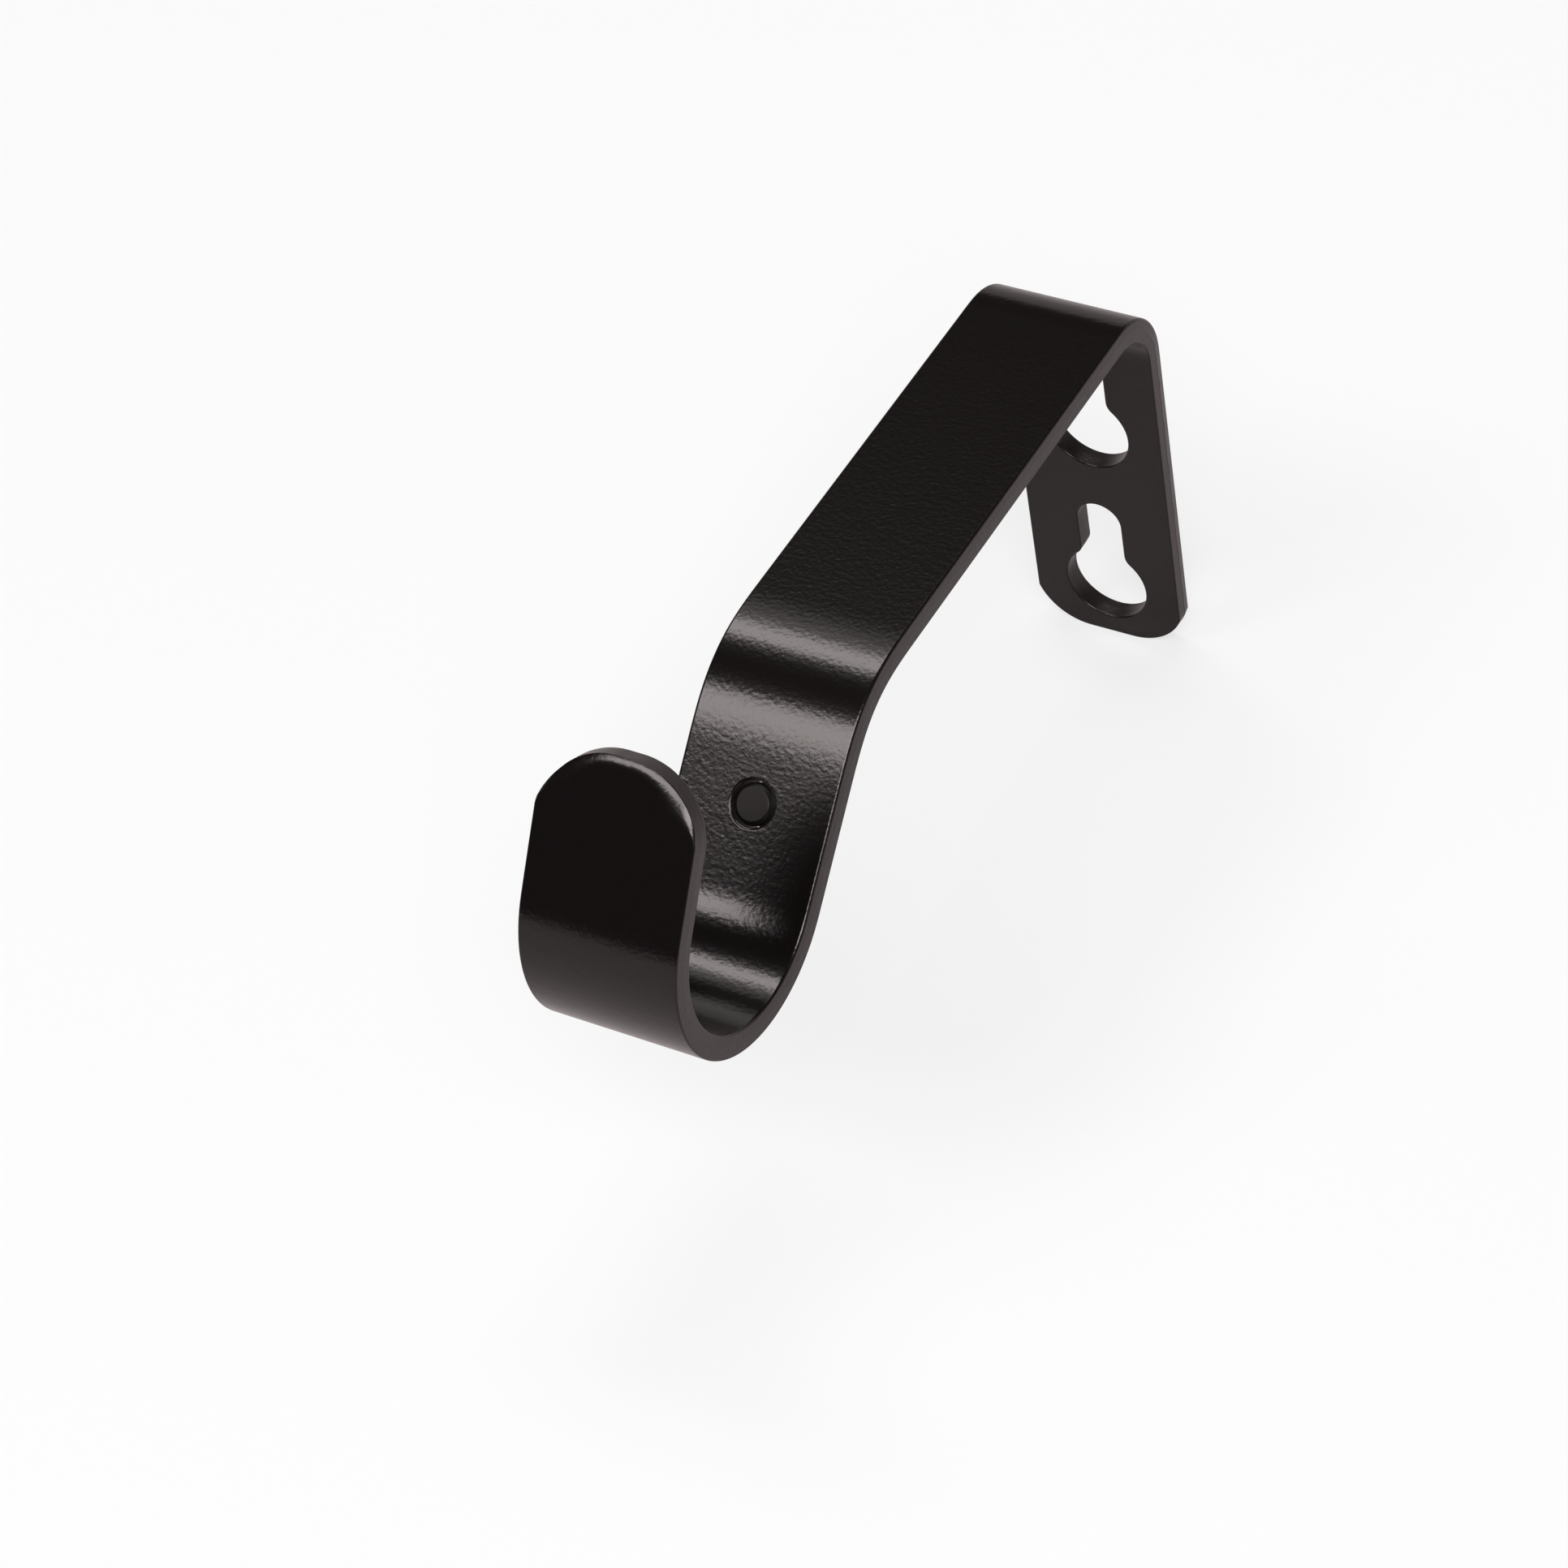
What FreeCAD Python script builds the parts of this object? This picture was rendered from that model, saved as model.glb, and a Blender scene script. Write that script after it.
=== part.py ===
"""Curtain pole bracket with an open hook, in millimetres.

One strip of steel is punched and trimmed flat, then bent three times. It starts as a
wall plate with two keyholes, turns into a level arm, slopes down as the rear limb and
curls up as an open hook whose front limb leans back over the hook's axis. A set screw
in the rear limb locks what lies in the hook.

Frame: X along the hook's axis, Y into the wall, Z up. The origin lies on the back of the
wall plate, midway between the two keyholes.

A strip frame rides along the strip on its wall-side face, which is also the top of the
arm and the inside of the hook: its x runs across the strip, its y along it from the
foot of the plate to the tip of the hook, and its z through the thickness.
"""
import FreeCAD
import Part
import math
import os

# Strip stock
strip_width = 20.0
strip_thickness = 3.0

# Wall plate: keyholes with the wide entry below and the narrow slot above
keyhole_spacing = 25.4
entry_radius = 5.5
slot_radius = 3.0
keyhole_rise = 10.35
shoulder_radius = 2.0
land_below_entry = 2.7
land_above_slot = 0.65

# Bends: inner radii of the strip, and angles in degrees
top_bend_radius = 6.5
middle_bend_radius = 15.0
rear_limb_slope = 45.0
cradle_radius = 13.5
front_limb_lean = 34.0

# Reach of the hook's axis from the wall, and its drop below the top of the arm
reach = 101.5
drop = 9.0
front_limb_run = 18.2

# Rounded ends of the strip: the arc at each corner and its angle in degrees, and the
# least that stays straight between the two arcs of a narrow strip
foot_corner_radius = 7.5
foot_corner_angle = 70.0
tip_corner_radius = 9.2
tip_corner_angle = 81.5
least_end_flat = 0.5

# Edge rounding: rolled on the wall side and outside the tip, only broken elsewhere
rolled_edge = 0.3
tip_rolled_edge = 0.9
broken_edge = 0.2

# Set screw, flush with the inside of the hook and reaching out behind the limb
screw_radius = 2.5
screw_length = 8.0
screw_from_bend = 8.4
screw_clearance = 0.1
screw_chamfer = 0.5
socket_across_flats = 2.5
socket_depth = 2.6

# How far a cutting tool stands out of what it cuts, and how near counts as touching
overcut = 5.0
nearness = 0.01

ACROSS = FreeCAD.Vector(1, 0, 0)
THROUGH = FreeCAD.Vector(0, 0, 1)


def point(x, y, z=0.0):
    """A point in a strip frame."""
    return FreeCAD.Vector(x, y, z)


def straight(length):
    """A straight stretch: the strip frame after a share of it."""
    return lambda share: FreeCAD.Placement(point(0, share * length), FreeCAD.Rotation())


def bend(centre_z, angle):
    """A bent stretch: the strip frame turned about the bend's axis by a share of it."""
    return lambda share: FreeCAD.Placement(
        point(0, 0), FreeCAD.Rotation(ACROSS, share * angle), point(0, 0, centre_z))


def arc(start, middle, end):
    return Part.Arc(start, middle, end).toShape()


def line(start, end):
    return Part.LineSegment(start, end).toShape()


# The plate, worked out from the keyholes
web_between_keyholes = keyhole_spacing - keyhole_rise - entry_radius - slot_radius
upper_entry_z = web_between_keyholes / 2 + entry_radius
lower_entry_z = upper_entry_z - keyhole_spacing
plate_foot_z = lower_entry_z - entry_radius - land_below_entry
plate_head_z = upper_entry_z + keyhole_rise + slot_radius + land_above_slot

# The straight runs, worked out from the reach and the drop of the hook's axis
slope_sin = math.sin(math.radians(rear_limb_slope))
slope_cos = math.cos(math.radians(rear_limb_slope))
top_outer_radius = top_bend_radius + strip_thickness
middle_outer_radius = middle_bend_radius + strip_thickness
rear_limb_run = (drop - middle_outer_radius * (1 - slope_cos) + cradle_radius * slope_cos) / slope_sin
arm_run = (reach - top_outer_radius - middle_outer_radius * slope_sin
           - rear_limb_run * slope_cos - cradle_radius * slope_sin)
hook_turn = rear_limb_slope + 90 + front_limb_lean

FOOT = FreeCAD.Placement(point(0, 0, plate_foot_z), FreeCAD.Rotation(ACROSS, 90))
STRETCHES = [
    ("plate", straight(plate_head_z - plate_foot_z)),
    ("top_bend", bend(top_outer_radius, 90)),
    ("arm", straight(arm_run)),
    ("middle_bend", bend(middle_outer_radius, rear_limb_slope)),
    ("rear_limb", straight(rear_limb_run)),
    ("hook", bend(-cradle_radius, -hook_turn)),
    ("front_limb", straight(front_limb_run)),
]


def strip_frames():
    """The strip frame at the start of each stretch, and at the tip."""
    frames = {}
    frame = FOOT
    for name, stretch in STRETCHES:
        frames[name] = frame
        frame = frame.multiply(stretch(1))
    frames["tip"] = frame
    return frames


def face_line(frames, depth):
    """The edges of the bent strip at one depth below its wall-side face."""
    edges = []
    for name, stretch in STRETCHES:
        start, middle, end = [
            frames[name].multiply(stretch(share)).multVec(point(0, 0, depth)) for share in (0, 0.5, 1)]
        edges.append(arc(start, middle, end) if "bend" in name or name == "hook" else line(start, end))
    return edges


def bent_strip(frames):
    """The strip's side profile, pulled across its width."""
    wall_side = face_line(frames, 0)
    far_side = face_line(frames, strip_thickness)
    foot = line(frames["plate"].multVec(point(0, 0)), frames["plate"].multVec(point(0, 0, strip_thickness)))
    tip = line(frames["tip"].multVec(point(0, 0)), frames["tip"].multVec(point(0, 0, strip_thickness)))
    profile = Part.Face(Part.Wire(Part.__sortEdges__(wall_side + far_side + [foot, tip])))
    profile.translate(-ACROSS * strip_width / 2)
    return profile.extrude(ACROSS * strip_width)


def through_tool(edges):
    """A cutter with the given outline in a strip frame, through the whole thickness."""
    tool = Part.Face(Part.Wire(Part.__sortEdges__(edges)))
    tool.translate(-THROUGH * overcut)
    return tool.extrude(THROUGH * (strip_thickness + 2 * overcut))


def end_waste(corner_radius, corner_angle, wall_side_edge, far_side_edge):
    """What is trimmed off an end of the strip, where the strip frame's y points out.

    The end is straight across its middle. At each corner an arc starts tangent to it,
    makes the given turn and meets the side of the strip, then runs on straight until its
    rounded edges are clear of the strip. The last two sizes round the end's edges.
    """
    side = strip_width / 2
    turn = math.radians(corner_angle)
    radius = min(corner_radius, (side - least_end_flat / 2) / math.sin(turn))
    flat_end = side - radius * math.sin(turn)
    clear_run = max(wall_side_edge, far_side_edge) / math.cos(turn)
    run_out = point(math.cos(turn), -math.sin(turn)) * clear_run
    edges = []
    for across in (1, -1):
        start = point(across * flat_end, 0)
        middle = start + point(across * radius * math.sin(turn / 2), radius * (math.cos(turn / 2) - 1))
        end = start + point(across * radius * math.sin(turn), radius * (math.cos(turn) - 1))
        clear = end + point(across * run_out.x, run_out.y)
        edges += [arc(start, middle, end), line(end, clear)]
    edges.append(line(point(-flat_end, 0), point(flat_end, 0)))
    edges.append(line(point(-clear.x, clear.y), clear))
    kept = Part.Face(Part.Wire(Part.__sortEdges__(edges))).extrude(THROUGH * strip_thickness)
    for depth, edge_radius in ((0, wall_side_edge), (strip_thickness, far_side_edge)):
        rounded = [edge for edge in kept.Edges if is_end_edge(edge, depth, clear.y)]
        kept = kept.makeFillet(edge_radius, rounded)
    block = Part.makeBox(-2 * clear.x, overcut - clear.y, strip_thickness, clear)
    return block.cut(kept)


def is_end_edge(edge, depth, clear_y):
    """Whether an edge of the end lies at this depth and ahead of where the end begins."""
    middle = edge_middle(edge)
    return abs(middle.z - depth) < nearness and middle.y > clear_y + nearness


def keyhole_tool():
    """A keyhole in a strip frame at the centre of its round entry, with its slot along y.

    The shoulders between the slot and the entry are rounded.
    """
    shoulder_x = slot_radius + shoulder_radius
    shoulder_y = math.sqrt((entry_radius + shoulder_radius) ** 2 - shoulder_x ** 2)
    shoulder_angle = math.atan2(shoulder_y, shoulder_x)
    middle_angle = math.pi + shoulder_angle / 2
    edges = []
    for side in (1, -1):
        slot_foot = point(side * slot_radius, shoulder_y)
        shoulder = point(
            side * (shoulder_x + shoulder_radius * math.cos(middle_angle)),
            shoulder_y + shoulder_radius * math.sin(middle_angle))
        entry_edge = point(
            side * entry_radius * math.cos(shoulder_angle), entry_radius * math.sin(shoulder_angle))
        edges.append(line(point(side * slot_radius, keyhole_rise), slot_foot))
        edges.append(arc(slot_foot, shoulder, entry_edge))
        edges.append(arc(entry_edge, point(side * entry_radius, 0), point(0, -entry_radius)))
        edges.append(arc(
            point(side * slot_radius, keyhole_rise),
            point(side * slot_radius * math.sqrt(0.5), keyhole_rise + slot_radius * math.sqrt(0.5)),
            point(0, keyhole_rise + slot_radius)))
    return through_tool(edges)


def edge_middle(edge):
    return edge.valueAt((edge.FirstParameter + edge.LastParameter) / 2)


def placed(shape, frame):
    """A copy of a shape modelled in a strip frame, set at that frame on the strip."""
    copy = shape.copy()
    copy.Placement = frame.multiply(copy.Placement)
    return copy


def screw_frame(frames):
    """The strip frame at the set screw's axis on the rear limb."""
    return frames["rear_limb"].multiply(straight(screw_from_bend)(1))


def with_rounded_sides(strip, frames):
    """The untrimmed strip with its long edges rounded, more on the wall side."""
    for depth, edge_radius in ((0, rolled_edge), (strip_thickness, broken_edge)):
        side_line = Part.Wire(face_line(frames, depth))
        strip = strip.makeFillet(edge_radius, [edge for edge in strip.Edges if runs_along(edge, side_line)])
    return strip


def runs_along(edge, side_line):
    """Whether an edge runs along a side of the strip, on the face that has this side line."""
    middle = edge_middle(edge)
    in_profile = Part.Vertex(FreeCAD.Vector(0, middle.y, middle.z))
    return abs(middle.x) > strip_width / 2 - nearness and side_line.distToShape(in_profile)[0] < nearness


def bracket_strip(frames):
    """The whole bent strip: trimmed ends, keyholes and the set screw's hole."""
    strip = with_rounded_sides(bent_strip(frames), frames)
    turned_foot = frames["plate"].multiply(
        FreeCAD.Placement(point(0, 0), FreeCAD.Rotation(THROUGH, 180)))
    foot_waste = end_waste(foot_corner_radius, foot_corner_angle, rolled_edge, broken_edge)
    tip_waste = end_waste(tip_corner_radius, tip_corner_angle, rolled_edge, tip_rolled_edge)
    strip = strip.cut(placed(foot_waste, turned_foot))
    strip = strip.cut(placed(tip_waste, frames["tip"]))
    for entry_z in (lower_entry_z, upper_entry_z):
        strip = strip.cut(placed(keyhole_tool(), frames["plate"].multiply(straight(entry_z - plate_foot_z)(1))))
    hole = Part.makeCylinder(
        screw_radius + screw_clearance, strip_thickness + 2 * overcut, point(0, 0, -overcut), THROUGH)
    return strip.cut(placed(hole, screw_frame(frames)))


def set_screw(frames):
    """A headless screw with a chamfer at each end and a six-sided socket at the back."""
    body = Part.makeCylinder(screw_radius, screw_length, point(0, 0), THROUGH)
    body = body.makeChamfer(screw_chamfer, [edge for edge in body.Edges if isinstance(edge.Curve, Part.Circle)])
    corner_radius = socket_across_flats / math.sqrt(3)
    sixth = math.pi / 3
    corners = [
        point(corner_radius * math.cos(corner * sixth), corner_radius * math.sin(corner * sixth),
              screw_length - socket_depth)
        for corner in range(7)]
    socket = Part.Face(Part.makePolygon(corners)).extrude(THROUGH * (socket_depth + overcut))
    return placed(body.cut(socket), screw_frame(frames))


def main():
    frames = strip_frames()
    os.makedirs("parts", exist_ok=True)
    bracket_strip(frames).exportStep("parts/bracket_strip.step")
    set_screw(frames).exportStep("parts/set_screw.step")


main()
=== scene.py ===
"""Looks of the curtain pole bracket: a powder-coated strip and a set screw, on a pale floor.

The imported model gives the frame, in metres. Each piece here stands for one of its solids
and lies where that solid lies. The strip is worked out flat and then carried along its
bent path, so that its edges, keyholes and rounded ends have one even, smooth surface.
"""
import math

import bpy
import numpy as np
from mathutils import Matrix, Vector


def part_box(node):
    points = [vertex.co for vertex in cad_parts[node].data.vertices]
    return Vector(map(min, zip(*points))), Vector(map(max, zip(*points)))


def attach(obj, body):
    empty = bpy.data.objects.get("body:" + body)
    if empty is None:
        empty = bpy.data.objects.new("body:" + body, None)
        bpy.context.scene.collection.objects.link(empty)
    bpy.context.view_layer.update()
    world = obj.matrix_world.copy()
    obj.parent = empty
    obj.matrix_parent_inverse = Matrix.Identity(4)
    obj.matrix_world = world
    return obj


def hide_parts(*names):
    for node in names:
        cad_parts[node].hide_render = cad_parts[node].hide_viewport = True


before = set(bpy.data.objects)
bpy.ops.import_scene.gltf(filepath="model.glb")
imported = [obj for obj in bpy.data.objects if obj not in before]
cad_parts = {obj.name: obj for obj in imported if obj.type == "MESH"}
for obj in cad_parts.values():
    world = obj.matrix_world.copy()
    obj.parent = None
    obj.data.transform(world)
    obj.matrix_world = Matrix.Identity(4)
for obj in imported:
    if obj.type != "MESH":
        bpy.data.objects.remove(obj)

bl_info = {
    "name": "Curtain pole bracket",
    "version": (1, 0, 0),
    "blender": (4, 5, 0),
    "location": "View3D > Sidebar > Bracket",
    "description": "Makes the bracket's strip, its set screw and a plain studio around them",
    "category": "Add Mesh",
}

MM = 0.001
STRIP_LOW, STRIP_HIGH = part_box("bracket_strip")

# The stretches of the strip, from its foot to its tip
PLATE, TOP_BEND, ARM, MIDDLE_BEND, REAR_LIMB, HOOK, FRONT_LIMB = range(7)

# How finely the strip is divided: steps of its path, cells across it, rows of cells along
# it, and points on each arc of a cut edge's section
PATH_STEPS = 12001
COLUMNS = 48
ROW_RUN = 1.0 * MM
ROWS_PER_DEGREE = 0.75
FOOT_CORNER_ROWS = 28
TIP_CORNER_ROWS = 32
NEAR_POINTS, CREST_POINTS, HOLLOW_POINTS, FAR_POINTS, ROLL_POINTS = 6, 4, 4, 5, 9

# Holes: points on their outlines, the rings of cells around them with how much these crowd
# towards the hole, and the window of cells that makes way for them
ENTRY_POINTS, SHOULDER_POINTS, SIDE_POINTS, SLOT_END_POINTS = 200, 80, 60, 120
CIRCLE_POINTS = 720
HOLE_RINGS = 8
RING_CROWDING = 1.5
MARGIN_BELOW_ENTRY = 0.9 * MM
MARGIN_ABOVE_SLOT = 0.3 * MM
SCREW_HOLE_MARGIN = 0.5 * MM
SCREW_HOLE_HALF_COLUMNS = 9

# How fast the mark of a cut edge fades as its wall turns into a face
MARK_FALL = 4

# Points that lie as near as this are welded
WELD = 0.0001 * MM

# Set screw: points around it, rings along it, the shape of its thread, the rings on its flat
# ends as shares of their radius, the socket's chamfer and the drilled cone at its floor
SCREW_TURN_POINTS = 97
SCREW_RINGS = 121
THREAD_STEEPNESS = 1.35
THREAD_CREST = 0.12
TIP_RINGS = np.array([0, 0.5, 0.96])
HEAD_RING = 0.96
SOCKET_CHAMFER = 0.12 * MM
SOCKET_CONE = 0.5 * MM
SHARP_ANGLE = math.radians(32)

# Stage: points of the floor's sweep, and each lamp's direction from the bracket with its
# width and height, all at one distance and turned to one place. In metres.
SWEEP_POINTS = 25
LAMP_DISTANCE = 2.0
LAMP_AIM = (0, -0.06, 0.01)
LAMPS = {
    "key": ((-0.22, -0.62, 0.79), (1.5, 0.58)),
    "narrow": ((-0.22, 0.31, 0.93), (1.6, 0.42)),
    "rear": ((-0.22, 0.5, 0.84), (1.6, 0.42)),
    "right": ((0.4, -0.55, 0.73), (0.95, 1.0)),
}
SENSOR_MM = 36.0
CLIP_START = 0.01


def length(name, description, millimetres):
    return bpy.props.FloatProperty(
        name=name, description=description, default=millimetres * MM, unit="LENGTH", precision=5)


def angle(name, description, degrees):
    return bpy.props.FloatProperty(
        name=name, description=description, default=math.radians(degrees), subtype="ANGLE")


def amount(name, description, value):
    return bpy.props.FloatProperty(name=name, description=description, default=value, min=0.0)


def colour(name, description, value):
    return bpy.props.FloatVectorProperty(
        name=name, description=description, default=value, subtype="COLOR", min=0.0, max=1.0)


class StripSettings(bpy.types.PropertyGroup):
    """Sizes of the strip.

    The path, the stock and the ends' corners are the solid's. The eases, the rounded edges
    and the section of the cut are finer than the solid's and are only for the looks.
    """
    width: length("Width", "Width of the strip", (STRIP_HIGH.x - STRIP_LOW.x) / MM)
    thickness: length("Thickness", "Thickness of the strip", 3.0)
    foot_z: length("Foot", "Height of the lower end of the wall plate", STRIP_LOW.z / MM)
    head_z: length("Head", "Height at which the top bend starts", 22.775)
    top_bend: length("Top bend", "Inner radius of the top bend", 6.5)
    arm_run: length("Arm", "Straight length of the arm", 56.452)
    middle_bend: length("Middle bend", "Inner radius of the middle bend", 15.0)
    rear_slope: angle("Rear limb slope", "Slope of the rear limb", 45.0)
    rear_run: length("Rear limb", "Straight length of the rear limb", 18.772)
    cradle: length("Hook", "Inner radius of the hook", 13.5)
    front_lean: angle("Front limb lean", "Lean of the front limb past upright", 34.0)
    front_run: length("Front limb", "Straight length of the front limb", 18.2)
    foot_corner: length("Foot corner", "Radius of the corners at the foot", 7.5)
    foot_turn: angle("Foot corner turn", "Angle of the corners at the foot", 70.0)
    tip_corner: length("Tip corner", "Radius of the corners at the tip", 9.2)
    tip_turn: angle("Tip corner turn", "Angle of the corners at the tip", 81.5)
    end_ease: length("End ease", "Run over which the top bend and the hook start and end", 2.5)
    middle_ease: length("Middle ease", "Run over which the middle bend starts and ends", 8.0)
    near_edge: length("Near edge", "Radius of the round along the wall-side face", 0.4)
    crisp_edge: length("Crisp edge", "Radius of the tight round along the far face", 0.16)
    torn_depth: length("Torn depth", "How deep from the wall-side face a cut is torn", 1.45)
    plate_lean: angle("Plate lean", "Lean of the cut wall's torn part on the plate", 9.0)
    arm_lean: angle("Arm lean", "Lean of the torn part past the top bend", 2.5)
    tip_lean: angle("Tip lean", "Lean of the cut wall round the tip", -6.5)
    plate_ridge: angle("Plate ridge", "Slope of the ridge behind the torn part there", 17.0)
    arm_ridge: angle("Arm ridge", "Slope of that ridge past the top bend", 4.0)
    tip_ridge: angle("Tip ridge", "Slope of that ridge round the tip", 8.0)
    hole_lean: angle("Hole lean", "Lean of the torn part in the holes", 3.0)
    ridge_round: length("Ridge round", "Radius of the ridge", 0.12)
    hollow_round: length("Hollow round", "Radius of the hollow behind the ridge", 0.5)
    wander: length("Wander", "How far the ridge wanders up and down the cut wall", 0.08)
    wander_length: length("Wander length", "Length of the ridge's waves", 7.0)
    side_roll: length("Side roll", "Width of the rolled edge along the far face", 0.2)
    side_roll_turn: angle("Side roll turn", "Slope at which that roll meets the cut", 50.0)
    crown_roll: length("Crown roll", "Width of the rolled edge at the tip's end", 1.25)
    tip_roll: length("Tip roll", "Width of the rolled edge round the tip's corners", 2.3)
    tip_roll_turn: angle("Tip roll turn", "Slope at which the tip's roll meets the cut", 24.5)
    tip_roll_starts: length("Tip roll starts", "From the tip to where its roll starts", 7.0)
    tip_roll_whole: length("Tip roll whole", "From the tip to where its roll is widest", 3.2)


class KeyholeSettings(bpy.types.PropertyGroup):
    """Sizes of the two keyholes in the wall plate."""
    upper_z: length("Upper entry", "Height of the upper keyhole's round entry", 8.775)
    lower_z: length("Lower entry", "Height of the lower keyhole's round entry", -16.625)
    entry: length("Entry", "Radius of the round entry", 5.5)
    slot: length("Slot", "Radius of the slot's end and half the slot's width", 3.0)
    rise: length("Rise", "From the entry's centre to the slot end's centre", 10.35)
    shoulder: length("Shoulder", "Radius between the slot and the entry", 2.0)


class ScrewSettings(bpy.types.PropertyGroup):
    """Sizes of the set screw and its hole."""
    radius: length("Radius", "Outer radius of the thread", 2.5)
    hole: length("Hole", "Radius of the hole in the strip", 2.6)
    length: length("Length", "Length of the screw", 8.0)
    from_bend: length("From bend", "From the middle bend to the screw's axis", 8.4)
    chamfer: length("Chamfer", "Chamfer at each end", 0.5)
    pitch: length("Pitch", "Pitch of the thread", 0.8)
    thread_depth: length("Thread depth", "Depth of the thread", 0.42)
    socket: length("Socket", "Width of the socket across its flats", 2.5)
    socket_depth: length("Socket depth", "Depth of the socket", 2.6)


class FinishSettings(bpy.types.PropertyGroup):
    """Colours and textures of the two finishes."""
    coat: colour("Coat", "Colour of the powder coat", (0.0034, 0.0025, 0.0026))
    coat_gloss_tint: colour("Coat gloss", "Tint of the powder coat's gloss", (1.0, 0.9, 0.9))
    coat_roughness: amount("Coat roughness", "Roughness of the powder coat", 0.19)
    thin_coat: colour("Thin coat", "Colour of the powder coat on cut edges", (0.012, 0.009, 0.009))
    thin_coat_roughness: amount("Thin coat roughness", "Roughness of the coat on cut edges", 0.3)
    coat_sheen: amount("Coat sheen", "Amount of the coat's soft sheen at a low angle", 0.06)
    sheen_roughness: amount("Sheen roughness", "Roughness of that sheen", 0.4)
    sheen_tint: colour("Sheen tint", "Tint of that sheen", (1.0, 0.75, 0.75))
    peel_size: length("Peel size", "Size of the ripples in the coat", 0.55)
    peel_depth: length("Peel depth", "Depth of the ripples in the coat", 0.021)
    grain_size: length("Grain size", "Size of the grains in the coat", 0.15)
    grain_depth: length("Grain depth", "Depth of the grains in the coat", 0.004)
    tear_size: length("Tear size", "Size of the marks on cut edges", 0.3)
    tear_depth: length("Tear depth", "Depth of the marks on cut edges", 0.02)
    steel: colour("Steel", "Colour of the blackened steel", (0.018, 0.015, 0.015))
    steel_roughness: amount("Steel roughness", "Roughness of the blackened steel", 0.42)
    steel_metallic: amount("Steel metallic", "How metallic the blackened steel is", 0.85)
    mark_size: length("Mark size", "Size of the marks that machining leaves on the steel", 0.12)
    mark_depth: length("Mark depth", "Depth of those marks", 0.003)


class StageSettings(bpy.types.PropertyGroup):
    """The floor, the lamps and the camera."""
    floor: colour("Floor", "Colour of the floor", (0.8, 0.8, 0.8))
    floor_size: length("Floor size", "Side of the square floor", 8000.0)
    sweep_starts: length("Sweep starts", "Where the floor starts to sweep up at the back", 1100.0)
    sweep_radius: length("Sweep radius", "Radius of the floor's sweep", 500.0)
    sweep_rise: length("Sweep rise", "Height of the upright above the sweep", 200.0)
    eye_lit: colour("Eye lit", "Lit share of the floor that the camera sees", (0.25, 0.25, 0.25))
    eye_glow: colour("Eye glow", "Glow of the floor that the camera sees", (0.675, 0.675, 0.675))
    gloss_lit: colour("Gloss lit", "Lit share of the floor in reflections", (0.35, 0.32, 0.32))
    gloss_glow: colour("Gloss glow", "Glow of the floor in reflections", (0.16, 0.145, 0.145))
    key: amount("Key", "Brightness of the soft key lamp, in front and above", 7.3)
    narrow: amount("Narrow", "Brightness of the narrow lamp, above and behind", 6.8)
    rear: amount("Rear", "Brightness of the dim lamp behind that one", 0.9)
    right: amount("Right", "Brightness of the square lamp, in front on the right", 9.5)
    studio: colour("Studio", "Colour of the dim studio around", (0.03, 0.025, 0.025))
    azimuth: angle("Azimuth", "Turn of the camera about the upright axis", 36.5699)
    elevation: angle("Elevation", "Height angle of the camera", 44.0892)
    roll: angle("Roll", "Turn of the camera about its own axis", 10.9668)
    camera_place: bpy.props.FloatVectorProperty(
        name="Camera place", description="Where the camera stands",
        default=(0.246053, -0.409790, 0.418111), subtype="TRANSLATION", unit="LENGTH")
    focal_length: bpy.props.FloatProperty(
        name="Focal length", description="Focal length of the lens, in millimetres", default=116.87)


GROUPS = {
    "bracket_strip_settings": StripSettings,
    "bracket_keyhole_settings": KeyholeSettings,
    "bracket_screw_settings": ScrewSettings,
    "bracket_finish_settings": FinishSettings,
    "bracket_stage_settings": StageSettings,
}


def bent_path(strip):
    """The stretches of the path along the strip's wall-side face, as three arrays.

    They are the length of each stretch, how far it turns, down being positive, and the
    run over which its curvature grows and dies away.
    """
    top = strip.top_bend + strip.thickness
    middle = strip.middle_bend + strip.thickness
    hook_turn = strip.rear_slope + math.pi / 2 + strip.front_lean
    lengths = np.array([
        strip.head_z - strip.foot_z, top * math.pi / 2, strip.arm_run, middle * strip.rear_slope,
        strip.rear_run, strip.cradle * hook_turn, strip.front_run])
    turns = np.zeros(len(lengths))
    turns[[TOP_BEND, MIDDLE_BEND, HOOK]] = math.pi / 2, strip.rear_slope, -hook_turn
    eases = np.full(len(lengths), strip.end_ease)
    eases[MIDDLE_BEND] = strip.middle_ease
    return lengths, turns, eases


def eased(run, ease):
    """How much of a run counts: none, then a parabola about its start, then all of it."""
    inside = np.clip(run + ease / 2, 0, ease)
    return inside ** 2 / (2 * ease) + np.maximum(run - ease / 2, 0)


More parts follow.
